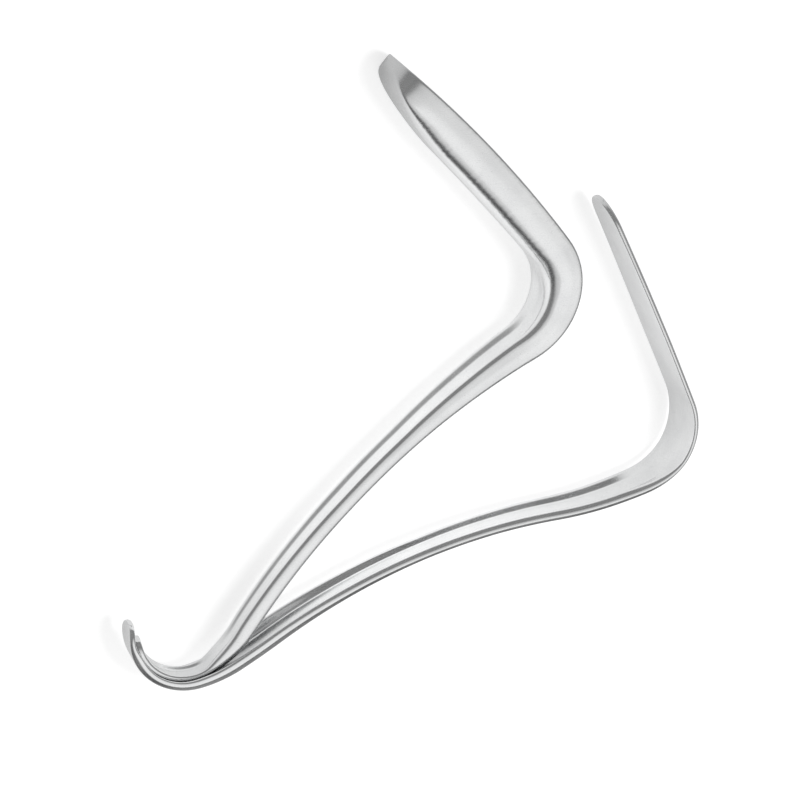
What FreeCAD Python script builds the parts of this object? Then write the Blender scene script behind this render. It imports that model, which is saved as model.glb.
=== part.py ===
import FreeCAD, Part
import math
import os

import Sketcher

# Two-piece retractor speculum, lying on its side as it does on an instrument table.
# Each piece is one forging: blade, curved handle and hook. The lower piece is a trough and
# the upper piece is a flat blade. The hooks nest and share one centre, about which they swing.
# Both are made the same way: a path along the outer face of the piece, from the hook's end to
# the blade's tip, and cross-sections that stand square on that path and are lofted together.

SIZES = {
    # Path of the lower piece: millimetres and degrees, a left turn is positive
    "lower_hook_start": 184.0,
    "lower_hook_radius": 18.3,
    "lower_hook_turn": 119.5,
    "lower_lead_length": 4.3,
    "lower_rise_radius": 29.6,
    "lower_rise_turn": 23.2,
    "lower_handle_length": 131.4,
    "lower_handle_turn": -28.4,
    "lower_heel_radius": 29.8,
    "lower_heel_turn": 97.5,
    "lower_blade_length": 83.6,
    "lower_blade_turn": 12.0,
    # Sections of the lower piece
    "lower_hook_width": 9.4,
    "lower_hook_height": 2.4,
    "lower_hook_corner": 0.9,
    "lower_grip_width": 10.4,
    "lower_grip_height": 6.2,
    "lower_waist_width": 12.6,
    "lower_waist_height": 5.6,
    "lower_neck_width": 16.4,
    "lower_neck_height": 9.8,
    "lower_handle_corner": 2.6,
    "lower_shoulder": 2.6,
    "lower_shoulder_radius": 1.6,
    "lower_groove_depth": 1.9,
    "lower_groove_corner": 1.2,
    "lower_heel_width": 22.0,
    "lower_heel_height": 11.0,
    "lower_root_width": 29.0,
    "lower_root_height": 12.6,
    "lower_root_back": 9.5,
    "lower_blade_width": 30.0,
    "lower_blade_height": 14.0,
    "lower_blade_back": 10.6,
    "lower_nose_length": 34.0,
    "lower_wall": 1.8,
    "lower_rim_radius": 0.7,
    # Path of the upper piece
    "upper_hook_start": 166.0,
    "upper_hook_turn": 114.0,
    "upper_lead_radius": 45.7,
    "upper_lead_turn": 19.0,
    "upper_rise_length": 16.5,
    "upper_rise_turn": 3.6,
    "upper_handle_length": 102.7,
    "upper_handle_turn": -28.4,
    "upper_sole_length": 32.7,
    "upper_sole_turn": 15.1,
    "upper_heel_radius": 24.5,
    "upper_heel_turn": 92.8,
    "upper_blade_length": 78.4,
    "upper_blade_turn": 2.1,
    # Sections of the upper piece
    "upper_sheet": 1.8,
    "upper_wall": 1.6,
    "upper_hook_lip": 1.3,
    "upper_cradle_height": 4.6,
    "upper_grip_width": 15.0,
    "upper_waist_width": 13.4,
    "upper_waist_height": 3.4,
    "upper_handle_corner": 1.5,
    "upper_neck_width": 17.5,
    "upper_neck_height": 2.6,
    "upper_heel_width": 22.0,
    "upper_blade_width": 26.0,
    "upper_blade_edge": 0.8,
    "upper_nose_width": 22.0,
    "upper_nose_length": 9.0,
    "upper_flat_length": 32.0,
    "upper_flat_depth": 0.1,
    # Fit between the two hooks
    "hook_gap": 0.3,
    "side_gap": 0.4,
    # Small ends and cutter sizes
    "tip_width": 3.0,
    "tip_height": 1.9,
    "least_depth": 2.4,
    "mouth_overhang": 3.0,
}

doc = FreeCAD.newDocument("speculum")


def make_sheet():
    sheet = doc.addObject("Spreadsheet::Sheet", "dims")
    for row, (alias, value) in enumerate(SIZES.items(), start=1):
        sheet.set(f"A{row}", alias)
        sheet.set(f"B{row}", str(value))
        sheet.setAlias(f"B{row}", alias)
    doc.recompute()
    return sheet


sheet = make_sheet()


class Size:
    """A length with its value and the expression that ties it to the sheet."""

    def __init__(self, value, text):
        self.value = value
        self.text = text

    def __add__(self, other):
        return Size(self.value + other.value, f"({self.text} + {other.text})")

    def __sub__(self, other):
        return Size(self.value - other.value, f"({self.text} - {other.text})")

    def times(self, factor):
        return Size(self.value * factor, f"{self.text} * ({factor:.6f})")


def size(alias):
    return Size(float(sheet.get(alias)), f"dims.{alias}")


def value(alias):
    return float(sheet.get(alias))


def blend(first, last, share):
    return first.times(1.0 - share) + last.times(share)


# Paths

def trace(start_angle, radius, spans):
    """Points of the path as spans of (start point, start heading, length, turn)."""
    angle = math.radians(start_angle)
    x = radius * math.cos(angle)
    y = radius * math.sin(angle)
    heading = angle + math.pi / 2
    route = []
    for length, turn in spans:
        route.append((x, y, heading, length, math.radians(turn)))
        x, y, heading = along(route[-1], 1.0)
    return route


def along(span, share):
    """Place and heading at a share of one span, which is a line or an arc."""
    x, y, heading, length, turn = span
    far = heading + turn * share
    if abs(turn) < 1e-6:
        return x + length * share * math.cos(heading), y + length * share * math.sin(heading), far
    radius = length / turn
    return (x + radius * (math.sin(far) - math.sin(heading)),
            y - radius * (math.cos(far) - math.cos(heading)), far)


def arc_span(radius, turn):
    return radius * math.radians(turn), turn


def frame(span, share, lift=0.0, towards_outside=False):
    """A section plane: its x runs across the piece and its y inward from the outer face."""
    x, y, heading = along(span, share)
    inward = FreeCAD.Vector(-math.sin(heading), math.cos(heading), 0)
    across = FreeCAD.Vector(0, 0, 1)
    origin = FreeCAD.Vector(x, y, 0) + inward * lift
    up = inward * -1 if towards_outside else inward
    return FreeCAD.Placement(origin, FreeCAD.Rotation(across, up, across.cross(up), "XYZ"))


# Sketches of the sections

def origin_plane(body, role):
    return next(item for item in body.Origin.OriginFeatures if item.Role == role)


def section_sketch(body, name, place):
    sketch = body.newObject("Sketcher::SketchObject", name)
    sketch.AttachmentSupport = [(origin_plane(body, "XY_Plane"), "")]
    sketch.MapMode = "FlatFace"
    sketch.AttachmentOffset = place
    return sketch


def point(x, y):
    return FreeCAD.Vector(x, y, 0)


def line(sketch, start, end):
    return sketch.addGeometry(Part.LineSegment(start, end))


def arc(sketch, centre, radius, first, last):
    circle = Part.Circle(centre, FreeCAD.Vector(0, 0, 1), radius)
    return sketch.addGeometry(Part.ArcOfCircle(circle, math.radians(first), math.radians(last)))


def drive(sketch, constraint, amount):
    index = sketch.addConstraint(constraint)
    sketch.setExpression(f"Constraints[{index}]", amount.text)


START, END, CENTRE = 1, 2, 3
ORIGIN, X_AXIS, Y_AXIS = -1, -1, -2


def slab(body, name, place, width, height, outer_corner, inner_corner):
    """Outline of the piece: a rectangle with its own corner radius on each side."""
    sketch = section_sketch(body, name, place)
    half = width.value / 2
    tall = height.value
    low = outer_corner.value
    high = inner_corner.value
    base = line(sketch, point(low - half, 0), point(half - low, 0))
    right_low = arc(sketch, point(half - low, low), low, 270, 360)
    right = line(sketch, point(half, low), point(half, tall - high))
    right_high = arc(sketch, point(half - high, tall - high), high, 0, 90)
    top = line(sketch, point(half - high, tall), point(high - half, tall))
    left_high = arc(sketch, point(high - half, tall - high), high, 90, 180)
    left = line(sketch, point(-half, tall - high), point(-half, low))
    left_low = arc(sketch, point(low - half, low), low, 180, 270)
    ring = [base, right_low, right, right_high, top, left_high, left, left_low]
    for current, following in zip(ring, ring[1:] + ring[:1]):
        sketch.addConstraint(Sketcher.Constraint("Tangent", current, END, following, START))
    sketch.addConstraint(Sketcher.Constraint("Symmetric", base, START, base, END, Y_AXIS))
    sketch.addConstraint(Sketcher.Constraint("Vertical", right))
    sketch.addConstraint(Sketcher.Constraint("Horizontal", top))
    sketch.addConstraint(Sketcher.Constraint("Vertical", left))
    sketch.addConstraint(Sketcher.Constraint("Equal", right_low, left_low))
    sketch.addConstraint(Sketcher.Constraint("Equal", right_high, left_high))
    sketch.addConstraint(Sketcher.Constraint("PointOnObject", base, START, X_AXIS))
    drive(sketch, Sketcher.Constraint("Radius", right_low, low), outer_corner)
    drive(sketch, Sketcher.Constraint("Radius", right_high, high), inner_corner)
    drive(sketch, Sketcher.Constraint("DistanceX", left, START, right, END, width.value), width)
    drive(sketch, Sketcher.Constraint("DistanceY", ORIGIN, START, top, START, tall), height)
    return sketch


def trench(body, name, place, width, depth, floor_corner, rim):
    """Outline of a channel's cutter: rounded floor, and a mouth that rounds the two rims."""
    sketch = section_sketch(body, name, place)
    half = width.value / 2
    deep = depth.value
    corner = floor_corner.value
    lip = rim.value
    over = value("mouth_overhang")
    mouth = line(sketch, point(-half - lip, -over), point(half + lip, -over))
    right_up = line(sketch, point(half + lip, -over), point(half + lip, 0))
    right_lip = arc(sketch, point(half + lip, lip), lip, 180, 270)
    right = line(sketch, point(half, lip), point(half, deep - corner))
    right_floor = arc(sketch, point(half - corner, deep - corner), corner, 0, 90)
    floor = line(sketch, point(half - corner, deep), point(corner - half, deep))
    left_floor = arc(sketch, point(corner - half, deep - corner), corner, 90, 180)
    left = line(sketch, point(-half, deep - corner), point(-half, lip))
    left_lip = arc(sketch, point(-half - lip, lip), lip, 270, 360)
    left_down = line(sketch, point(-half - lip, 0), point(-half - lip, -over))
    for first, first_end, second, second_end in (
            (mouth, END, right_up, START), (right_up, END, right_lip, END),
            (left_lip, START, left_down, START), (left_down, END, mouth, START)):
        sketch.addConstraint(Sketcher.Constraint("Coincident", first, first_end, second, second_end))
    for first, first_end, second, second_end in (
            (right_lip, START, right, START), (right, END, right_floor, START),
            (right_floor, END, floor, START), (floor, END, left_floor, START),
            (left_floor, END, left, START), (left, END, left_lip, END)):
        sketch.addConstraint(Sketcher.Constraint("Tangent", first, first_end, second, second_end))
    for upright in (right_up, right, left, left_down):
        sketch.addConstraint(Sketcher.Constraint("Vertical", upright))
    sketch.addConstraint(Sketcher.Constraint("Horizontal", mouth))
    sketch.addConstraint(Sketcher.Constraint("Symmetric", floor, START, floor, END, Y_AXIS))
    sketch.addConstraint(Sketcher.Constraint("Vertical", right_lip, CENTRE, right_lip, END))
    sketch.addConstraint(Sketcher.Constraint("Vertical", left_lip, CENTRE, left_lip, START))
    sketch.addConstraint(Sketcher.Constraint("Equal", right_floor, left_floor))
    sketch.addConstraint(Sketcher.Constraint("Equal", right_lip, left_lip))
    sketch.addConstraint(Sketcher.Constraint("PointOnObject", right_lip, END, X_AXIS))
    sketch.addConstraint(Sketcher.Constraint("PointOnObject", left_lip, START, X_AXIS))
    drive(sketch, Sketcher.Constraint("Radius", right_lip, lip), rim)
    drive(sketch, Sketcher.Constraint("Radius", right_floor, corner), floor_corner)
    drive(sketch, Sketcher.Constraint("DistanceX", left, START, right, END, width.value), width)
    drive(sketch, Sketcher.Constraint("DistanceY", ORIGIN, START, floor, START, deep), depth)
    drive(sketch, Sketcher.Constraint("DistanceY", mouth, START, ORIGIN, START, over),
          size("mouth_overhang"))
    return sketch


# Laws that shape the sections

# Longest strip of a loft in millimetres, and the most that its path turns in one, in radians
STRIP_LENGTH = 24.0
STRIP_TURN = math.radians(13.0)


def dome(share, power=2.0):
    """How full a rounded end still is at a share of its length: 1 at its root, 0 at its tip."""
    return math.sqrt(max(0.0, 1.0 - share ** power))


def mixed(first, last, share):
    return tuple(blend(a, b, share) for a, b in zip(first, last))


def refined(route, stations):
    """Stations with more between them, their sizes on a smooth curve through the given ones."""
    starts = [sum(span[3] for span in route[:number]) for number in range(len(route))]
    marks = [starts[span] + route[span][3] * share for span, share, *sizes in stations]
    rows = [(*form, *others) for span, share, form, *others in stations]
    dense = []
    for number in range(len(stations) - 1):
        around = [rows[max(number - 1, 0)], rows[number], rows[number + 1],
                  rows[min(number + 2, len(rows) - 1)]]
        steps = steps_between(route, stations[number][:2], stations[number + 1][:2],
                              marks[number + 1] - marks[number])
        for step in range(steps):
            share = step / steps
            mark = blend_numbers(marks[number], marks[number + 1], share)
            span = max(index for index, start in enumerate(starts) if start <= mark + 1e-9)
            row = [curved(*sizes, share) for sizes in zip(*around)]
            dense.append((span, (mark - starts[span]) / route[span][3], row[:4], *row[4:]))
    dense.append(stations[-1])
    return dense


def steps_between(route, first, last, length):
    """How many strips a stretch needs for the longest strip and the sharpest bend in one."""
    turn = abs(along(route[last[0]], last[1])[2] - along(route[first[0]], first[1])[2])
    return max(1, math.ceil(turn / STRIP_TURN), math.ceil(length / STRIP_LENGTH))


def curved(before, first, last, after, share):
    """Size at a share of the way from first to last on a curve through all four."""
    square = share * share
    cube = square * share
    return (before.times(-0.5 * share + square - 0.5 * cube)
            + first.times(1.0 - 2.5 * square + 1.5 * cube)
            + last.times(0.5 * share + 2.0 * square - 1.5 * cube)
            + after.times(-0.5 * square + 0.5 * cube))


def blend_numbers(first, last, share):
    return first * (1.0 - share) + last * share


def lofted(body, kind, name, sketches):
    loft = body.newObject(kind, name)
    loft.Profile = sketches[0]
    loft.Sections = sketches[1:]
    loft.Ruled = True
    body.Tip = loft
    doc.recompute()
    return loft


def outline(body, route, stations):
    """Loft of the whole piece from its stations of (span, share, form)."""
    sketches = [slab(body, f"outline_{number:02d}", frame(route[span], share), *form)
                for number, (span, share, form) in enumerate(refined(route, stations))]
    return lofted(body, "PartDesign::AdditiveLoft", "outline", sketches)


# Share of the rim's rounding that stands proud of the metal, so that its arc meets the face
# at an angle instead of running out along it
RIM_BREAK = 0.3

# A channel that went wrong takes nearly nothing, in cubic millimetres, or nearly everything
LEAST_CUT = 50.0
LEAST_SHARE_LEFT = 0.2


def cut_away(body, route, name, stations, land, rim, inner_side=False):
    """Loft of a channel cut from stations of (span, share, form, floor, floor corner).

    The floor is a height above the outer face. Where it runs past the far side of the piece the
    cutter has left the metal, which is how a channel fades out. The land is the flat that stays
    between the channel and the rounded corner beside it.
    """
    before = body.Shape.Volume
    least = size("least_depth")
    sketches = []
    for number, (span, share, form, floor, corner) in enumerate(refined(route, stations)):
        depth = (form[1] - floor if inner_side else floor) + rim.times(RIM_BREAK)
        if depth.value < least.value:
            depth = least
        mouth = floor.value + depth.value if inner_side else floor.value - depth.value
        place = frame(route[span], share, mouth, inner_side)
        beside = form[3] if inner_side else form[2]
        width = form[0] - (beside + land).times(2.0)
        sketches.append(trench(body, f"{name}_{number:02d}", place, width, depth, corner, rim))
    cut = lofted(body, "PartDesign::SubtractiveLoft", name, sketches)
    left = body.Shape.Volume
    if not LEAST_SHARE_LEFT * before < left < before - LEAST_CUT:
        raise RuntimeError(f"{name} changed the volume from {before:.0f} to {left:.0f}")
    return cut


# Lower piece: trough blade, handle grooved on its inner side, inner hook

# Groove depth at each station from the hook to the heel, as a share of its full depth
GROOVE_SHARES = (-0.6, 0.2, 0.45, 0.65, 0.9, 1.0,
                 1.0, 1.0, 1.0, 1.0, 1.0,
                 1.0, 0.95, 0.6, -0.5)


def make_lower_blade():
    body = doc.addObject("PartDesign::Body", "lower_blade")
    body.Label = "lower_blade"
    hook, lead, rise, handle, heel, blade = range(6)
    route = trace(value("lower_hook_start"), value("lower_hook_radius"), (
        arc_span(value("lower_hook_radius"), value("lower_hook_turn")),
        (value("lower_lead_length"), 0.0),
        arc_span(value("lower_rise_radius"), value("lower_rise_turn")),
        (value("lower_handle_length"), value("lower_handle_turn")),
        arc_span(value("lower_heel_radius"), value("lower_heel_turn")),
        (value("lower_blade_length"), value("lower_blade_turn"))))
    wall = size("lower_wall")
    rim = size("lower_rim_radius")
    corner = size("lower_handle_corner")
    tongue = (size("lower_hook_width"), size("lower_hook_height"),
              size("lower_hook_corner"), size("lower_hook_corner"))
    tongue_end = (size("tip_width"),) + tongue[1:]
    shoulder = size("lower_shoulder_radius")
    grip = (size("lower_grip_width"), size("lower_grip_height"), corner, shoulder)
    waist = (size("lower_waist_width"), size("lower_waist_height"), corner, shoulder)
    neck = (size("lower_neck_width"), size("lower_neck_height"), corner, shoulder)
    bend = (size("lower_heel_width"), size("lower_heel_height"), rim.times(2.0),
            shoulder.times(1.5))
    root = (size("lower_root_width"), size("lower_root_height"), rim, size("lower_root_back"))
    full = (size("lower_blade_width"), size("lower_blade_height"), rim, size("lower_blade_back"))
    tip = (size("tip_width"), size("tip_height"), rim, rim)
    nose_start = 1.0 - value("lower_nose_length") / value("lower_blade_length")

    def nose(share):
        wide = dome(share, 3.0)
        tall = dome(share, 1.7)
        return (blade, nose_start + (1.0 - nose_start) * share,
                (blend(tip[0], full[0], wide), blend(tip[1], full[1], tall),
                 rim, blend(tip[3], full[3], tall)))

    tongue_stations = [(hook, share, mixed(tongue_end, tongue, dome(1.0 - share / 0.12)))
                       for share in (0.0, 0.03, 0.12)]
    hook_stations = [(hook, 0.32, tongue), (hook, 0.52, tongue), (hook, 0.72, tongue),
                     (hook, 0.9, mixed(tongue, grip, 0.12)),
                     (lead, 0.2, mixed(tongue, grip, 0.45)),
                     (rise, 0.25, mixed(tongue, grip, 0.8))]
    handle_stations = [(rise, 1.0, grip),
                       (handle, 0.2, mixed(grip, waist, 0.45)),
                       (handle, 0.42, waist),
                       (handle, 0.62, mixed(waist, neck, 0.15)),
                       (handle, 0.82, mixed(waist, neck, 0.58))]
    heel_stations = [(handle, 1.0, neck),
                     (heel, 0.25, mixed(neck, bend, 0.55)),
                     (heel, 0.5, bend),
                     (heel, 0.75, mixed(bend, root, 0.55)),
                     (heel, 1.0, root)]
    blade_stations = [(blade, 0.22, mixed(root, full, 0.7)), (blade, nose_start * 0.8, full)]
    blade_stations += [nose(share) for share in (0.3, 0.55, 0.75, 0.89)]
    outline(body, route, tongue_stations + hook_stations + handle_stations + heel_stations
            + blade_stations + [nose(0.96), nose(1.0)])

    # The web lies on the blade's back and crosses to the handle's outer face round the heel
    web = [blend(wall.times(-0.4), neck[1], share) for share in (0.0, 0.25, 0.52, 0.74, 0.9)]
    web[-1] = root[1] - wall
    sides = [corner.times(share) for share in (0.6, 0.8, 1.2, 2.2)] + [root[3] - wall]
    trough = [(*handle_stations[-1], web[0].times(1.6), sides[0])]
    trough += [(*station, floor, side) for station, floor, side in zip(heel_stations, web, sides)]
    trough += [(*station, station[2][1] - wall, station[2][3] - wall)
               for station in blade_stations]
    cut_away(body, route, "trough", trough, wall - rim, rim)

    # The groove runs out in the hook and on the heel, where its floor leaves the metal
    deep = size("lower_groove_depth")
    side = size("lower_groove_corner")
    groove = []
    for station, share in zip(hook_stations + handle_stations + heel_stations, GROOVE_SHARES):
        groove.append((*station, station[2][1] - deep.times(share), side))
    cut_away(body, route, "groove", groove, size("lower_shoulder") - shoulder, rim,
             inner_side=True)
    return body


# Upper piece: flat blade, handle like a shallow gutter, outer hook that cradles the inner one

# Middle of the blade's ground flat, as a share of the blade's length
FLAT_PLACE = 0.38


def make_upper_blade():
    body = doc.addObject("PartDesign::Body", "upper_blade")
    body.Label = "upper_blade"
    hook, lead, rise, handle, sole, heel, blade = range(7)
    thick = size("upper_sheet")
    radius = value("lower_hook_radius") + value("hook_gap") + thick.value
    route = trace(value("upper_hook_start"), radius, (
        arc_span(radius, value("upper_hook_turn")),
        arc_span(value("upper_lead_radius"), value("upper_lead_turn")),
        (value("upper_rise_length"), value("upper_rise_turn")),
        (value("upper_handle_length"), value("upper_handle_turn")),
        (value("upper_sole_length"), value("upper_sole_turn")),
        arc_span(value("upper_heel_radius"), value("upper_heel_turn")),
        (value("upper_blade_length"), value("upper_blade_turn"))))
    wall = size("upper_wall")
    edge = size("upper_blade_edge")
    corner = size("upper_handle_corner")
    hook_width = size("lower_hook_width") + size("side_gap").times(2.0) + wall.times(2.0)
    tongue = (hook_width, thick, edge, edge)
    tongue_end = (size("tip_width"),) + tongue[1:]
    cup = (hook_width, thick + size("upper_hook_lip"), edge, edge.times(0.6))
    cradle = (size("upper_grip_width"), size("upper_cradle_height"), corner, edge.times(0.6))
    waist = (size("upper_waist_width"), size("upper_waist_height"), corner, edge.times(0.6))
    neck = (size("upper_neck_width"), size("upper_neck_height"), edge, edge)
    bend = (size("upper_heel_width"), thick, edge, edge)
    full = (size("upper_blade_width"), thick, edge, edge)
    nose = (size("upper_nose_width"), thick, edge, edge)
    tip = (size("tip_width"),) + full[1:]
    nose_start = 1.0 - value("upper_nose_length") / value("upper_blade_length")

    tongue_stations = [(hook, share, mixed(tongue_end, tongue, dome(1.0 - share / 0.12)))
                       for share in (0.0, 0.03, 0.12)]
    gutter_stations = [(hook, 0.26, mixed(tongue, cup, 0.7)),
                       (hook, 0.42, cup),
                       (hook, 0.6, cup),
                       (hook, 0.8, mixed(cup, cradle, 0.2)),
                       (hook, 1.0, mixed(cup, cradle, 0.6)),
                       (lead, 0.8, cradle),
                       (rise, 0.5, cradle),
                       (rise, 1.0, cradle),
                       (handle, 0.25, mixed(cradle, waist, 0.6)),
                       (handle, 0.55, waist),
                       (handle, 0.8, mixed(waist, neck, 0.2)),
                       (handle, 1.0, mixed(waist, neck, 0.55)),
                       (sole, 0.5, neck)]
    heel_stations = [(sole, 1.0, mixed(neck, bend, 0.3)),
                     (heel, 0.25, mixed(neck, bend, 0.7)),
                     (heel, 0.5, bend),
                     (heel, 0.75, mixed(bend, full, 0.45)),
                     (heel, 1.0, mixed(bend, full, 0.75))]
    blade_stations = [(blade, 0.3, full),
                      (blade, 0.6, mixed(full, nose, 0.4)),
                      (blade, nose_start, nose)]
    blade_stations += [(blade, nose_start + (1.0 - nose_start) * share,
                        mixed(tip, nose, dome(share)))
                       for share in (0.45, 0.8, 1.0)]
    outline(body, route, tongue_stations + gutter_stations + heel_stations + blade_stations)

    side = corner.times(0.4)
    gutter = [(*tongue_stations[-1], thick.times(1.2), side)]
    gutter += [(*station, thick, side) for station in gutter_stations]
    gutter += [(*heel_stations[0], thick.times(1.1), side),
               (*heel_stations[1], thick.times(1.4), side)]
    cut_away(body, route, "gutter", gutter, wall - edge.times(0.6), edge.times(0.4),
             inner_side=True)
    grind_flat(body, route[blade], FLAT_PLACE, edge)
    return body


def grind_flat(body, span, share, margin):
    """Flat on the blade's outer face, square to the path at a share of its span.

    Its cutter starts in the metal and reaches as far again outside the face.
    """
    x, y, heading = along(span, share)
    outward = FreeCAD.Vector(math.sin(heading), -math.cos(heading), 0)
    ahead = FreeCAD.Vector(math.cos(heading), math.sin(heading), 0)
    deep = size("upper_flat_depth")
    sketch = section_sketch(body, "flat_outline", FreeCAD.Placement(
        FreeCAD.Vector(x, y, 0) - outward * deep.value,
        FreeCAD.Rotation(ahead, FreeCAD.Vector(), outward, "ZXY")))
    long = size("upper_flat_length")
    wide = size("upper_blade_width") + margin
    corners = [point(long.value / 2 * along_it, wide.value / 2 * across_it)
               for along_it, across_it in ((-1, -1), (1, -1), (1, 1), (-1, 1))]
    ring = [line(sketch, start, end) for start, end in zip(corners, corners[1:] + corners[:1])]
    for current, following in zip(ring, ring[1:] + ring[:1]):
        sketch.addConstraint(Sketcher.Constraint("Coincident", current, END, following, START))
    for number, direction in enumerate(("Horizontal", "Vertical", "Horizontal", "Vertical")):
        sketch.addConstraint(Sketcher.Constraint(direction, ring[number]))
    sketch.addConstraint(Sketcher.Constraint("Symmetric", ring[0], START, ring[2], START,
                                             ORIGIN, START))
    drive(sketch, Sketcher.Constraint("DistanceX", ring[0], START, ring[0], END, long.value), long)
    drive(sketch, Sketcher.Constraint("DistanceY", ring[1], START, ring[1], END, wide.value), wide)
    flat = body.newObject("PartDesign::Pocket", "flat")
    flat.Profile = sketch
    reach = deep.times(2.0)
    flat.Length = reach.value
    flat.setExpression("Length", reach.text)
    flat.Reversed = True
    body.Tip = flat
    doc.recompute()


pieces = [make_lower_blade(), make_upper_blade()]

# The part stands on the floor of its own frame: origin under the middle of its bounding box

reach = FreeCAD.BoundBox()
for piece in pieces:
    reach.add(piece.Shape.BoundBox)
shift = FreeCAD.Vector(-reach.Center.x, -reach.Center.y, -reach.ZMin)
for piece in pieces:
    piece.Placement = FreeCAD.Placement(shift, FreeCAD.Rotation())
doc.recompute()

for item in doc.Objects:
    if "Invalid" in item.State or "Error" in item.State:
        raise RuntimeError(f"{item.Name} has failed")
for piece in pieces:
    if piece.Shape.isNull() or not piece.Shape.isValid() or len(piece.Shape.Solids) != 1:
        raise RuntimeError(f"{piece.Label} is not one valid solid")

os.makedirs("parts", exist_ok=True)
for piece in pieces:
    piece.Shape.exportStep(f"parts/{piece.Label}.step")
    print(piece.Label, piece.Shape.Volume, piece.Shape.BoundBox)
print("hinge axis at", shift)
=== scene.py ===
import math

import bpy
import numpy as np
from mathutils import Matrix, Vector


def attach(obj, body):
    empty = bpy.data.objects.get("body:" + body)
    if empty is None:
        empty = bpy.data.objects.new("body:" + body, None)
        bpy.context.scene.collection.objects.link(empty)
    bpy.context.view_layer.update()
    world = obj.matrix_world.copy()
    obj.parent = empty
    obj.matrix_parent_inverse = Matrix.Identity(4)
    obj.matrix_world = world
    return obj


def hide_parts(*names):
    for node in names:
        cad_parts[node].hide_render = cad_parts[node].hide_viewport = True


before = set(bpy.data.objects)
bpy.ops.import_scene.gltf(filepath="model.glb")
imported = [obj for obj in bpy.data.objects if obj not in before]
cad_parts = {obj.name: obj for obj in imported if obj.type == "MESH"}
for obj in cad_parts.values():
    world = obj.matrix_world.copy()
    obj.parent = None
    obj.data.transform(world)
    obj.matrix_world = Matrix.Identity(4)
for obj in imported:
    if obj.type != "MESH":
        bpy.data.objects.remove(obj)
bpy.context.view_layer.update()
MM = 0.001


# Camera: seen from above and a little to the side, as the photograph is

CAMERA_TARGET = (-3.654, -11.948, 15.0)
CAMERA_BACK = (-0.27950, 0.35775, 0.89101)
CAMERA_DISTANCE = 1.1
LENS = 150.0
SENSOR = 36.0
CLIP_NEAR = 0.05
CLIP_FAR = 20.0


def make_camera():
    target = Vector(CAMERA_TARGET) * MM
    back = Vector(CAMERA_BACK).normalized()
    across = Vector((0.0, 1.0, 0.0)).cross(back).normalized()
    upward = back.cross(across)
    data = bpy.data.cameras.new("camera")
    data.lens = LENS
    data.sensor_width = SENSOR
    data.clip_start = CLIP_NEAR
    data.clip_end = CLIP_FAR
    camera = bpy.data.objects.new("camera", data)
    turn = Matrix((across, upward, back)).transposed().to_4x4()
    camera.matrix_world = Matrix.Translation(target + back * CAMERA_DISTANCE) @ turn
    bpy.context.scene.collection.objects.link(camera)
    bpy.context.scene.camera = camera


make_camera()


# Paths of the two pieces, in millimetres: a left turn is positive

HINGE = (-78.15422, -84.44786, 15.0)
STEP = 0.25
PATH_SOFTNESS = 3.0
HOOK_RADIUS = 18.3
HOOK_GAP = 0.3
SHEET = 1.8
# The eased path swings out of the arcs by less than this
INSET = 0.12


class Path:
    """A smooth path through straight and curved spans of (length, turn in degrees)."""

    def __init__(self, start_angle, radius, spans):
        self.ends = np.cumsum([0.0] + [length for length, turn in spans])
        self.length = self.ends[-1]
        count = int(round(self.length / STEP)) + 1
        self.s = np.linspace(0.0, self.length, count)
        bend = np.zeros(count)
        for number, (length, turn) in enumerate(spans):
            inside = (self.s >= self.ends[number]) & (self.s <= self.ends[number + 1])
            bend[inside] = math.radians(turn) / length
        bend = eased(self.s, bend, PATH_SOFTNESS)
        gap = self.s[1] - self.s[0]
        angle = math.radians(start_angle)
        turned = np.concatenate([[0.0], np.cumsum((bend[1:] + bend[:-1]) / 2 * gap)])
        self.heading = angle + math.pi / 2 + turned
        middle = (self.heading[1:] + self.heading[:-1]) / 2
        run_x = np.concatenate([[0], np.cumsum(np.cos(middle))]) * gap
        run_y = np.concatenate([[0], np.cumsum(np.sin(middle))]) * gap
        self.x = HINGE[0] + radius * math.cos(angle) + run_x
        self.y = HINGE[1] + radius * math.sin(angle) + run_y

    def mark(self, span, share):
        return self.ends[span] + (self.ends[span + 1] - self.ends[span]) * share

    def at(self, s):
        return tuple(np.interp(s, self.s, row) for row in (self.x, self.y, self.heading))


def eased(s, values, width):
    """Values run through a bell curve of a given width, so that they change smoothly."""
    gap = s[1] - s[0]
    reach = max(1, int(round(width / gap)))
    bell = np.hanning(2 * reach + 3)[1:-1]
    bell /= bell.sum()
    padded = np.concatenate([np.full(reach, values[0]), values, np.full(reach, values[-1])])
    return np.convolve(padded, bell, mode="valid")


def arc_span(radius, turn):
    return radius * math.radians(turn), turn


def dome(share, power=2.0):
    """Falls from 1 to 0 as a rounded end does while the share goes from 0 to 1."""
    return float(np.sqrt(np.clip(1.0 - np.clip(share, 0.0, 1.0) ** power, 0.0, 1.0)))


# Cross-sections: half of a closed outline, as points (across, inward from the outer face)

ARC_POINTS = 12
RUN_POINTS = 3
HALF_POINTS = 64
BEND_WEIGHT = 2.6
# The crest's radius stays under its reach by this much, and a fillet under its room
CREST_ROOM = 1.0001
FILLET_ROOM = 0.98
MOST_TURN = 3.0
LEAST_TANGENT = 1e-4
LEAST_SIDE = 1e-9
LEAST_HALF_TURN = 1e-3
SAME_POINT = 1e-6
# Radii of the outline's corners, from the groove around to the trough
CORNERS = ("hollow", "crest", "side", "rim", "inner_rim", "trough_corner")
# The trough's wall is this much thicker than its rim, and more so the deeper it is
WALL_STEP = 0.25
WALL_SLOPE = 0.04


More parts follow.
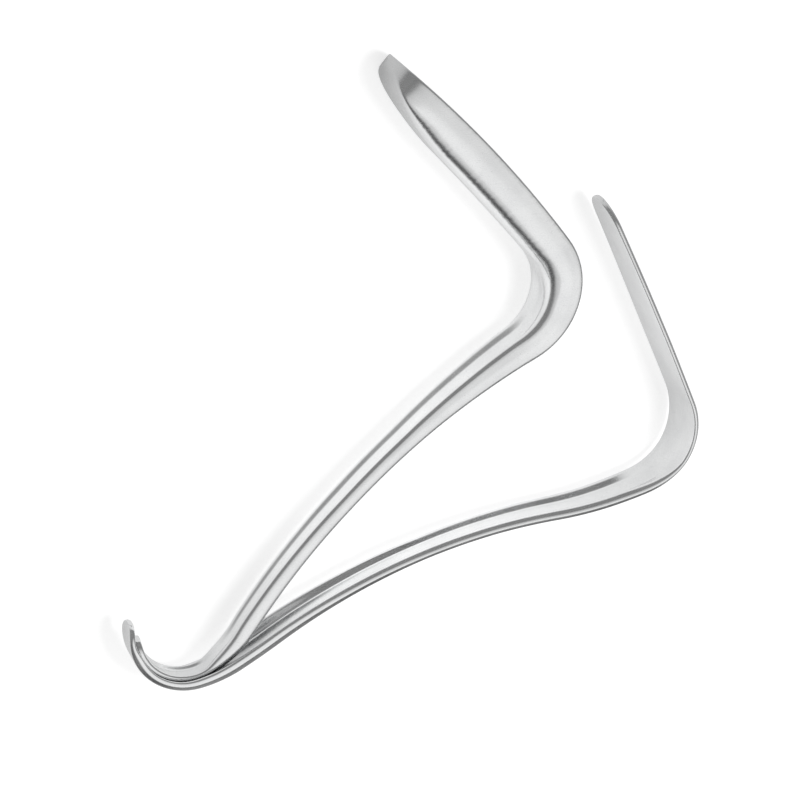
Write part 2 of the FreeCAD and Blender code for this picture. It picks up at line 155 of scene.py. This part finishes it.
def crest_corner(shape):
    """Corner over the shoulder, where the groove's slope and the side wall would meet."""
    wide, high = shape["width"] / 2, shape["height"]
    crest = shape["crest"]
    waist = high * shape["belly"]
    side = Vector((high - waist, shape["lean"])).normalized()
    centre_w = high - crest
    centre_u = (wide * side.x + waist * side.y - crest - centre_w * side.y) / side.x
    floor = Vector((centre_u * shape["floor"], high - shape["groove"]))
    reach = Vector((centre_u, centre_w)) - floor
    distance = max(reach.length, crest * CREST_ROOM)
    slope = math.atan2(reach.y, reach.x) + math.asin(crest / distance)
    along = Vector((math.cos(slope), math.sin(slope)))
    down = Vector((side.y, -side.x))
    start = Vector((wide, waist))
    gap = start - floor
    turn = along.x * down.y - along.y * down.x
    run = (gap.x * down.y - gap.y * down.x) / turn
    return floor, floor + along * run, start


def half_outline(shape):
    floor, corner, belly = crest_corner(shape)
    wide, high = shape["width"] / 2, shape["height"]
    foot = wide - shape["tuck"]
    lip = foot - shape["rim_width"]
    deep = shape["trough"]
    inner = lip - WALL_STEP - WALL_SLOPE * deep
    points = [Vector((0.0, floor.y)), floor, corner, belly, Vector((foot, 0.0)),
              Vector((lip, 0.0)), Vector((inner, deep)), Vector((0.0, deep))]
    return spaced(filleted(points, [shape[field] for field in CORNERS]))


def spaced(outline):
    """The outline with its points spread evenly along it, closer together where it bends."""
    line = np.array([(point.x, point.y) for point in outline])
    keep = np.concatenate([[True], np.hypot(*np.diff(line, axis=0).T) > SAME_POINT])
    line = line[keep]
    gaps = np.diff(line, axis=0)
    lengths = np.hypot(gaps[:, 0], gaps[:, 1])
    angles = np.unwrap(np.arctan2(gaps[:, 1], gaps[:, 0]))
    bends = np.zeros(len(line))
    bends[1:-1] = np.abs(np.diff(angles))
    weights = lengths + BEND_WEIGHT * (bends[:-1] + bends[1:]) / 2
    travelled = np.concatenate([[0.0], np.cumsum(weights)])
    wanted = np.linspace(0.0, travelled[-1], HALF_POINTS)
    return [Vector((u, w)) for u, w in zip(np.interp(wanted, travelled, line[:, 0]),
                                           np.interp(wanted, travelled, line[:, 1]))]


def filleted(points, radii):
    """The outline with each inner corner rounded; the count of points never changes."""
    tangents, arcs = [], []
    lengths = [(b - a).length for a, b in zip(points, points[1:])]
    turns = []
    for before, here, after in zip(points, points[1:], points[2:]):
        first, second = here - before, after - here
        long_enough = min(first.length, second.length) > LEAST_SIDE
        turns.append(first.angle_signed(second, 0.0) if long_enough else 0.0)
    wanted = [radius * math.tan(min(abs(turn), MOST_TURN) / 2)
              for radius, turn in zip(radii, turns)]
    for number, want in enumerate(wanted):
        before = wanted[number - 1] if number else 0.0
        after = wanted[number + 1] if number + 1 < len(wanted) else 0.0
        room_before = lengths[number] * (want / (want + before) if before else FILLET_ROOM)
        room_after = lengths[number + 1] * (want / (want + after) if after else FILLET_ROOM)
        room = min(room_before * FILLET_ROOM, room_after * FILLET_ROOM)
        tangents.append(max(LEAST_TANGENT, min(want, room)))
    outline = []
    last = points[0]
    for number, here in enumerate(points[1:-1]):
        first = (here - points[number]).normalized()
        second = (points[number + 2] - here).normalized()
        start = here - first * tangents[number]
        end = here + second * tangents[number]
        outline += [last.lerp(start, step / RUN_POINTS) for step in range(RUN_POINTS)]
        half_turn = abs(turns[number]) / 2
        for step in range(ARC_POINTS):
            share = step / (ARC_POINTS - 1)
            outline.append(arc_point(start, here, end, half_turn, share))
        last = end
    end = points[-1]
    outline += [last.lerp(end, step / RUN_POINTS) for step in range(1, RUN_POINTS + 1)]
    return outline


def arc_point(start, corner, end, half_turn, share):
    """Point of the arc that leaves start and reaches end, both tangent to the corner's sides."""
    if half_turn < LEAST_HALF_TURN:
        return start.lerp(end, share)
    weight = math.cos(half_turn)
    angle = (share - 0.5) * 2.0 * half_turn
    ratio = 0.5 + math.tan(angle / 2) / (2.0 * math.tan(half_turn / 2))
    a, b, c = (1 - ratio) ** 2, 2 * ratio * (1 - ratio) * weight, ratio ** 2
    return (start * a + corner * b + end * c) / (a + b + c)


# A piece is swept through its key sections

FIELDS = ("width", "height", "crest", "belly", "lean", "floor", "groove", "tuck", "rim_width",
          "trough", "hollow", "side", "rim", "inner_rim", "trough_corner")
SPACING = 1.0
TIP_STEPS = (0.03, 0.08, 0.16, 0.28, 0.45, 0.7)
TIP_ROOM = 0.9


def sweep(name, path, keys, shrink, softness):
    """Mesh along the path from key sections of (arc length, shape)."""
    stations = np.linspace(0.0, path.length, int(path.length / SPACING) + 1)
    marks = [mark for mark, shape in keys]
    table = {}
    for field in FIELDS:
        row = np.interp(path.s, marks, [shape[field] for mark, shape in keys])
        table[field] = eased(path.s, row, softness)
    rings = []
    for s in with_tip_stations(stations, path.length):
        shape = {field: float(np.interp(s, path.s, table[field])) for field in FIELDS}
        shrink(shape, s)
        half = half_outline(shape)
        loop = half + [Vector((-point.x, point.y)) for point in half[-2:0:-1]]
        x, y, heading = path.at(s)
        inward = (-math.sin(heading), math.cos(heading))
        x += inward[0] * INSET
        y += inward[1] * INSET
        rings.append([((x + inward[0] * w) * MM, (y + inward[1] * w) * MM, (HINGE[2] + u) * MM)
                      for u, w in loop])
    return skin(name, rings)


def with_tip_stations(stations, length):
    """Stations that crowd together towards both ends, where the outline closes."""
    inner = [s for s in stations if TIP_ROOM < s < length - TIP_ROOM]
    return [0.0, *TIP_STEPS, *inner, *(length - step for step in reversed(TIP_STEPS)), length]


def skin(name, rings):
    """Closed mesh over the rings, with a strip of faces across each end."""
    count = len(rings[0])
    points = [point for ring in rings for point in ring]
    faces = []
    for number in range(len(rings) - 1):
        low, high = number * count, (number + 1) * count
        for index in range(count):
            after = (index + 1) % count
            faces.append((low + index, high + index, high + after, low + after))
    half = count // 2
    for base, flip in ((0, False), ((len(rings) - 1) * count, True)):
        for index in range(half):
            a, b = base + index, base + index + 1
            c, d = base + (count - index - 1) % count, base + (count - index) % count
            face = [a, b, c, d]
            face = [v for k, v in enumerate(face) if v not in face[:k]]
            faces.append(tuple(face if not flip else reversed(face)))
    mesh = bpy.data.meshes.new(name)
    mesh.from_pydata(points, [], faces)
    mesh.validate()
    mesh.polygons.foreach_set("use_smooth", [True] * len(mesh.polygons))
    mesh.update()
    piece = bpy.data.objects.new(name, mesh)
    bpy.context.scene.collection.objects.link(piece)
    return piece


# Forms: lengths in millimetres, belly as a share of the height and floor of the crest's place

def form(width, height, crest, groove=0.0, floor=0.35, hollow=2.2, belly=0.45, lean=0.3, tuck=0.0,
         side=8.0, rim=0.85, rim_width=1.8, inner_rim=0.7, trough=0.0, trough_corner=1.0):
    return dict(zip(FIELDS, (width, height, crest, belly, lean, floor, groove, tuck, rim_width,
                             trough, hollow, side, rim, inner_rim, trough_corner)))


def mix(a, b, share, **changes):
    made = {field: a[field] * (1 - share) + b[field] * share for field in FIELDS}
    made.update(changes)
    return made


def narrowed(value, least, share):
    return least + (value - least) * share


# The free ends: a short rounded tip at the hook, and a nose at the blade

TIP_SHARE = 0.12
TIP_WIDTH = 3.0
TIP_HEIGHT = 1.9
LOWER_NOSE = 34.0
NOSE_SIDE_POWER = 9.0
NOSE_BACK_POWER = 1.7
NOSE_CORNER_POWER = 2.6
LEAST_CORNER_SHARE = 0.1
THINNEST_TROUGH = 0.05
UPPER_NOSE = 9.0
# Where each path starts, in degrees around the hinge
LOWER_START = 184.0
UPPER_START = 166.0
# Lengths over which one form turns into the next
LOWER_SOFTNESS = 6.0
UPPER_SOFTNESS = 4.0
# The outer hook's lips stand this far over its floor
HOOK_LIP = 1.3


def round_hook_tip(shape, share):
    """The width near the hook's end, at a share of the tip's length from that end."""
    shape["width"] = narrowed(shape["width"], TIP_WIDTH, dome(1.0 - min(1.0, share)))


def make_lower():
    path = Path(LOWER_START, HOOK_RADIUS, (
        arc_span(HOOK_RADIUS, 119.5), (4.3, 0.0), arc_span(29.6, 23.2), (131.4, -28.4),
        arc_span(29.8, 97.5), (83.6, 12.0)))
    hook, lead, rise, handle, heel, blade = range(6)
    tongue = form(9.4, 2.4, 0.9, lean=0.05, side=1.0, rim=1.0, rim_width=2.6, hollow=1.5)
    channel = dict(groove=0.9, crest=0.7, floor=0.6)
    grip = form(10.4, 6.2, 1.5, groove=1.0, floor=0.42, tuck=0.9, rim=2.4, rim_width=3.2)
    waist = form(12.6, 5.6, 1.6, groove=1.25, floor=0.45, tuck=0.9, rim=2.4, rim_width=3.2)
    neck = form(16.4, 9.8, 1.8, groove=1.6, floor=0.5, tuck=0.9, rim=2.4, rim_width=3.0)
    bend = form(22.0, 11.0, 3.6, groove=1.2, lean=0.7, tuck=0.4, rim=1.2, rim_width=2.0,
                trough=6.0, trough_corner=2.4)
    root = form(29.0, 12.6, 8.6, lean=1.6, side=16.0, trough=10.8, trough_corner=7.0)
    full = form(30.0, 14.0, 9.6, lean=2.0, side=20.0, trough=12.2, trough_corner=8.0)

    keys = [(0.0, tongue), (path.mark(hook, 0.2), tongue),
            (path.mark(hook, 0.45), dict(tongue, **channel)),
            (path.mark(hook, 0.9), mix(tongue, grip, 0.12, **channel)),
            (path.mark(lead, 0.2), mix(tongue, grip, 0.45)),
            (path.mark(rise, 0.25), mix(tongue, grip, 0.8)),
            (path.mark(rise, 1.0), grip),
            (path.mark(handle, 0.2), mix(grip, waist, 0.45)),
            (path.mark(handle, 0.42), waist),
            (path.mark(handle, 0.62), mix(waist, neck, 0.15)),
            (path.mark(handle, 0.82), mix(waist, neck, 0.58)),
            (path.mark(handle, 1.0), neck),
            (path.mark(heel, 0.25), mix(neck, bend, 0.55, trough=2.2)),
            (path.mark(heel, 0.5), bend),
            (path.mark(heel, 0.75), mix(bend, root, 0.55, groove=0.0, trough=8.4)),
            (path.mark(heel, 1.0), root),
            (path.mark(blade, 0.22), mix(root, full, 0.7)),
            (path.mark(blade, 0.45), full), (path.length, full)]

    def shrink(shape, s):
        round_hook_tip(shape, s / path.mark(hook, TIP_SHARE))
        nose = (s - path.length + LOWER_NOSE) / LOWER_NOSE
        if nose > 0:
            wide, tall = dome(nose, NOSE_SIDE_POWER), dome(nose, NOSE_BACK_POWER)
            wall = shape["height"] - shape["trough"]
            shape["width"] = narrowed(shape["width"], TIP_WIDTH, wide)
            shape["height"] = narrowed(shape["height"], TIP_HEIGHT, tall)
            shape["trough"] = max(THINNEST_TROUGH, shape["height"] - wall)
            for field in ("crest", "side", "trough_corner", "lean"):
                shape[field] *= max(LEAST_CORNER_SHARE, min(tall ** NOSE_CORNER_POWER, wide))

    return sweep("lower_forging", path, keys, shrink, LOWER_SOFTNESS)


def make_upper():
    radius = HOOK_RADIUS + HOOK_GAP + SHEET
    path = Path(UPPER_START, radius, (
        arc_span(radius, 114.0), arc_span(45.7, 19.0), (16.5, 3.6), (102.7, -28.4), (32.7, 15.1),
        arc_span(24.5, 92.8), (78.4, 2.1)))
    hook, lead, rise, handle, sole, heel, blade = range(7)
    flat = dict(lean=0.05, side=0.8, rim=0.9, rim_width=1.8, inner_rim=0.7, tuck=0.75)
    tongue = form(13.4, SHEET, 0.8, **flat)
    leaning = dict(flat, belly=0.55, tuck=1.2)
    cup = form(13.4, SHEET + HOOK_LIP, 0.6, groove=1.35, floor=0.84, hollow=0.8, **leaning)
    cradle = form(15.0, 4.6, 0.9, groove=3.0, floor=0.8, hollow=1.2, **dict(leaning, tuck=1.5))
    waist = form(13.4, 3.4, 1.7, groove=1.4, floor=0.48, hollow=1.6, lean=0.1, side=0.8, rim=0.9,
                 rim_width=2.0, tuck=0.7)
    neck = form(17.5, 3.45, 1.9, groove=1.65, floor=0.55, hollow=2.0, **flat)
    bend = nose = form(22.0, SHEET, 0.85, **flat)
    full = form(26.0, SHEET, 0.85, **flat)

    keys = [(0.0, tongue), (path.mark(hook, 0.14), tongue),
            (path.mark(hook, 0.3), cup), (path.mark(hook, 0.6), cup),
            (path.mark(hook, 0.8), mix(cup, cradle, 0.2)),
            (path.mark(hook, 1.0), mix(cup, cradle, 0.6)),
            (path.mark(lead, 0.8), cradle), (path.mark(rise, 1.0), cradle),
            (path.mark(handle, 0.25), mix(cradle, waist, 0.6)), (path.mark(handle, 0.55), waist),
            (path.mark(handle, 0.8), mix(waist, neck, 0.2)),
            (path.mark(handle, 1.0), mix(waist, neck, 0.55)),
            (path.mark(sole, 0.75), neck), (path.mark(heel, 0.1), mix(neck, bend, 0.3)),
            (path.mark(heel, 0.4), bend), (path.mark(heel, 0.75), mix(bend, full, 0.45)),
            (path.mark(heel, 1.0), mix(bend, full, 0.75)), (path.mark(blade, 0.3), full),
            (path.mark(blade, 0.6), mix(full, nose, 0.4)), (path.length - UPPER_NOSE, nose),
            (path.length, nose)]

    def shrink(shape, s):
        round_hook_tip(shape, s / path.mark(hook, TIP_SHARE))
        share = (s - path.length + UPPER_NOSE) / UPPER_NOSE
        if share > 0:
            shape["width"] = narrowed(shape["width"], TIP_WIDTH, dome(share))

    return sweep("upper_forging", path, keys, shrink, UPPER_SOFTNESS)


lower = make_lower()
upper = make_upper()
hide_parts("lower_blade")
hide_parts("upper_blade")
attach(lower, "lower_blade")
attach(upper, "upper_blade")


# Materials, floor and light are node trees

SCRATCHES = ((0.5, 60.0), (1.9, 85.0))
SCRATCH_STRETCH = (1.0, 7.0, 7.0)
SCRATCH_SHARPNESS = -140.0
SCRATCH_DETAIL = 2.0


class Nodes:
    """Short calls for building a node tree."""

    def __init__(self, owner):
        owner.use_nodes = True
        self.tree = owner.node_tree
        self.tree.nodes.clear()

    def add(self, kind, **settings):
        node = self.tree.nodes.new(kind)
        for name, amount in settings.items():
            setattr(node, name, amount)
        return node

    def link(self, source, target):
        self.tree.links.new(source, target)

    def put(self, socket, amount):
        if isinstance(amount, bpy.types.NodeSocket):
            self.link(amount, socket)
        else:
            socket.default_value = amount

    def math(self, operation, first, second=0.0, third=0.0):
        node = self.add("ShaderNodeMath", operation=operation)
        self.put(node.inputs[0], first)
        self.put(node.inputs[1], second)
        self.put(node.inputs[2], third)
        return node.outputs[0]

    def noise(self, place, scale, detail):
        node = self.add("ShaderNodeTexNoise")
        self.put(node.inputs["Vector"], place)
        node.inputs["Scale"].default_value = scale
        node.inputs["Detail"].default_value = detail
        return node.outputs[0]

    def curve(self, amount, stops):
        """Level of grey at an amount from -1 to 1, straight between the stops."""
        ramp = self.add("ShaderNodeValToRGB")
        self.link(self.math("MULTIPLY_ADD", amount, 0.5, 0.5), ramp.inputs[0])
        elements = ramp.color_ramp.elements
        for number, (place, level) in enumerate(stops):
            stop = elements[number] if number < len(elements) else elements.new(1.0)
            stop.position = (place + 1.0) / 2
            stop.color = (level, level, level, 1)
        return ramp.outputs[0]

    def fade(self, amount, start, end, first, last):
        """Straight change from the first level at start to the last at end."""
        node = self.add("ShaderNodeMapRange")
        for socket, value in zip(node.inputs, (amount, start, end, first, last)):
            self.put(socket, value)
        return node.outputs[0]

    def scratches(self, place):
        """Thin lines where two stretched noises cross their middle value."""
        lines = 0.0
        for turn, scale in SCRATCHES:
            aim = self.add("ShaderNodeMapping")
            self.put(aim.inputs["Vector"], place)
            aim.inputs["Rotation"].default_value = (0.0, 0.0, turn)
            aim.inputs["Scale"].default_value = SCRATCH_STRETCH
            level = self.noise(aim.outputs[0], scale, SCRATCH_DETAIL)
            far = self.math("ABSOLUTE", self.math("SUBTRACT", level, 0.5))
            line = self.math("MULTIPLY_ADD", far, SCRATCH_SHARPNESS, 1.0)
            lines = self.math("MAXIMUM", line, lines)
        return lines


CLOUD_SCALE = 95.0
CLOUD_DETAIL = 4.0
GRAIN_SCALE = 2600.0
GRAIN_DETAIL = 3.0
SCRATCH_BLEND = 0.05
# The steel's tone runs from the darker to the lighter colour between two levels of the noise
STEEL_TONES = ((0.3, (0.66, 0.665, 0.67, 1)), (0.7, (0.78, 0.785, 0.785, 1)))
CLOUD_IN_TONE = 0.55
GRAIN_IN_TONE = 0.45
ROUGHNESS = 0.14
CLOUD_ROUGHNESS = 0.10
GRAIN_ROUGHNESS = 0.06
SCRATCH_ROUGHNESS = 0.10
GRAIN_HEIGHT = 0.5
SCRATCH_HEIGHT = -0.6
BUMP_STRENGTH = 0.12
BUMP_DISTANCE = 0.02


def steel(name):
    """Satin stainless steel: a fine even grain, cloudy polish and faint scratches from use."""
    material = bpy.data.materials.new(name)
    nodes = Nodes(material)
    out = nodes.add("ShaderNodeOutputMaterial")
    shader = nodes.add("ShaderNodeBsdfPrincipled")
    nodes.link(shader.outputs[0], out.inputs[0])
    place = nodes.add("ShaderNodeTexCoord").outputs["Object"]
    cloud = nodes.noise(place, CLOUD_SCALE, CLOUD_DETAIL)
    grain = nodes.noise(place, GRAIN_SCALE, GRAIN_DETAIL)
    scratch = nodes.math("SMOOTH_MIN", 1.0, nodes.scratches(place), SCRATCH_BLEND)

    grain_tone = nodes.math("MULTIPLY", grain, GRAIN_IN_TONE)
    tone = nodes.math("ADD", nodes.math("MULTIPLY", cloud, CLOUD_IN_TONE), grain_tone)
    ramp = nodes.add("ShaderNodeValToRGB")
    nodes.link(tone, ramp.inputs[0])
    for stop, (level, colour) in zip(ramp.color_ramp.elements, STEEL_TONES):
        stop.position = level
        stop.color = colour
    nodes.link(ramp.outputs[0], shader.inputs["Base Color"])
    shader.inputs["Metallic"].default_value = 1.0

    rough = nodes.math("MULTIPLY_ADD", cloud, CLOUD_ROUGHNESS, ROUGHNESS)
    rough = nodes.math("MULTIPLY_ADD", grain, GRAIN_ROUGHNESS, rough)
    rough = nodes.math("MULTIPLY_ADD", scratch, SCRATCH_ROUGHNESS, rough)
    nodes.link(rough, shader.inputs["Roughness"])

    height = nodes.math("MULTIPLY", grain, GRAIN_HEIGHT)
    height = nodes.math("MULTIPLY_ADD", scratch, SCRATCH_HEIGHT, height)
    bump = nodes.add("ShaderNodeBump")
    bump.inputs["Strength"].default_value = BUMP_STRENGTH
    bump.inputs["Distance"].default_value = BUMP_DISTANCE * MM
    nodes.link(height, bump.inputs["Height"])
    nodes.link(bump.outputs[0], shader.inputs["Normal"])
    return material


satin = steel("satin_steel")
for piece in (lower, upper):
    piece.data.materials.append(satin)
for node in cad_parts.values():
    node.data.materials.clear()
    node.data.materials.append(satin)


# Floor: pale paint that shows white in the picture, with a painted pool of light in the glow that
# metal mirrors, and painted shade where the paint darkens away from it

FLOOR_SIZE = 6.0
# Painted pool of light: the centre of the glow that metal mirrors, full within POOL_INNER of it
# and down to POOL_LEFT of itself at POOL_OUTER
POOL = (0.0, -0.045, 0.0)
POOL_INNER = 0.035
POOL_OUTER = 0.14
POOL_LEFT = 0.28
FAR = 0.35
# Painted shade: the paint's level darkens outward between the pool's outer edge and FAR, while
# the glow the camera sees rises over the same span so the floor still shows white
PAINT = 0.55
FAR_PAINTED_SHADE = 0.15
SEEN = 0.66
FAR_SEEN = 0.95
MIRRORED = 0.85


def make_floor():
    bpy.ops.mesh.primitive_plane_add(size=FLOOR_SIZE, location=(0, 0, 0))
    floor = bpy.context.object
    floor.name = "floor"
    material = bpy.data.materials.new("floor_paint_and_painted_pool")
    nodes = Nodes(material)
    out = nodes.add("ShaderNodeOutputMaterial")
    paint = nodes.add("ShaderNodeBsdfDiffuse")
    glow = nodes.add("ShaderNodeEmission")
    path = nodes.add("ShaderNodeLightPath").outputs
    from_pool = nodes.add("ShaderNodeVectorMath", operation="DISTANCE")
    nodes.link(nodes.add("ShaderNodeTexCoord").outputs["Object"], from_pool.inputs[0])
    from_pool.inputs[1].default_value = POOL
    away = from_pool.outputs["Value"]
    # Painted shade: the paint darkens away from the pool
    nodes.put(paint.inputs[0], nodes.fade(away, POOL_OUTER, FAR, PAINT, FAR_PAINTED_SHADE))
    # Painted pool of light, shaping the glow that metal mirrors
    painted_pool = nodes.fade(away, POOL_INNER, POOL_OUTER, 1.0, POOL_LEFT)
    mirrored = nodes.math("MAXIMUM", path["Is Glossy Ray"], path["Is Transmission Ray"])
    mirrored = nodes.math("MULTIPLY", mirrored, nodes.math("MULTIPLY", painted_pool, MIRRORED))
    seen = nodes.fade(away, POOL_OUTER, FAR, SEEN, FAR_SEEN)
    seen = nodes.math("MULTIPLY_ADD", path["Is Camera Ray"], seen, mirrored)
    nodes.put(glow.inputs["Strength"], seen)
    both = nodes.add("ShaderNodeAddShader")
    nodes.link(paint.outputs[0], both.inputs[0])
    nodes.link(glow.outputs[0], both.inputs[1])
    nodes.link(both.outputs[0], out.inputs[0])
    floor.data.materials.append(material)


# Light: a big soft source over the foot of the picture, in a room that is dark along its horizon

BRIGHT_SIDE = (0.16, -0.62, 0.77)
# How bright the room is at each cosine of the angle from its bright side
BRIGHT = ((-1.0, 0.0), (0.2, 0.02), (0.5, 0.22), (0.7, 0.62), (0.86, 0.74), (1.0, 0.78))
# What the room gives besides, also by that cosine
DIM = ((-1.0, 0.3), (0.1, 0.28), (0.5, 0.09), (1.0, 0.08))
# How much of the bright side is left at each height over the horizon, as a sine
HORIZON = ((-1.0, 0.0), (0.0, 0.0), (0.24, 0.05), (0.46, 1.0), (1.0, 1.0))
SOFTBOX_DISTANCE = 1.5
SOFTBOX_SIZE = 1.1
SOFTBOX_POWER = 1.0
OVERHEAD = (0.28, 0.16, 1.15)
OVERHEAD_SIZE = 0.3
OVERHEAD_POWER = 5.0


def make_lights():
    world = bpy.data.worlds.new("studio")
    bpy.context.scene.world = world
    nodes = Nodes(world)
    out = nodes.add("ShaderNodeOutputWorld")
    sky = nodes.add("ShaderNodeBackground")
    aim = nodes.add("ShaderNodeTexCoord").outputs["Generated"]
    split = nodes.add("ShaderNodeSeparateXYZ")
    nodes.link(aim, split.inputs[0])
    product = nodes.add("ShaderNodeVectorMath", operation="DOT_PRODUCT")
    nodes.link(aim, product.inputs[0])
    bright_side = Vector(BRIGHT_SIDE).normalized()
    product.inputs[1].default_value = bright_side
    facing = product.outputs["Value"]
    over_horizon = nodes.curve(split.outputs["Z"], HORIZON)
    lit = nodes.math("MULTIPLY", nodes.curve(facing, BRIGHT), over_horizon)
    nodes.link(nodes.math("ADD", lit, nodes.curve(facing, DIM)), sky.inputs["Strength"])
    nodes.link(sky.outputs[0], out.inputs[0])
    sky.inputs["Color"].default_value = (1, 1, 1, 1)
    panel("softbox", bright_side * SOFTBOX_DISTANCE, SOFTBOX_SIZE, SOFTBOX_POWER)
    overhead = panel("overhead", OVERHEAD, OVERHEAD_SIZE, OVERHEAD_POWER)
    overhead.visible_glossy = False


def panel(name, place, size, power):
    """Square lamp at a place, aimed at the middle of the floor."""
    data = bpy.data.lights.new(name, "AREA")
    data.shape = "SQUARE"
    data.size = size
    data.energy = power
    lamp = bpy.data.objects.new(name, data)
    lamp.location = place
    lamp.rotation_mode = "QUATERNION"
    lamp.rotation_quaternion = (-Vector(place)).to_track_quat("-Z", "Y")
    bpy.context.scene.collection.objects.link(lamp)
    return lamp


make_floor()
make_lights()

bpy.context.scene.view_settings.view_transform = "Standard"
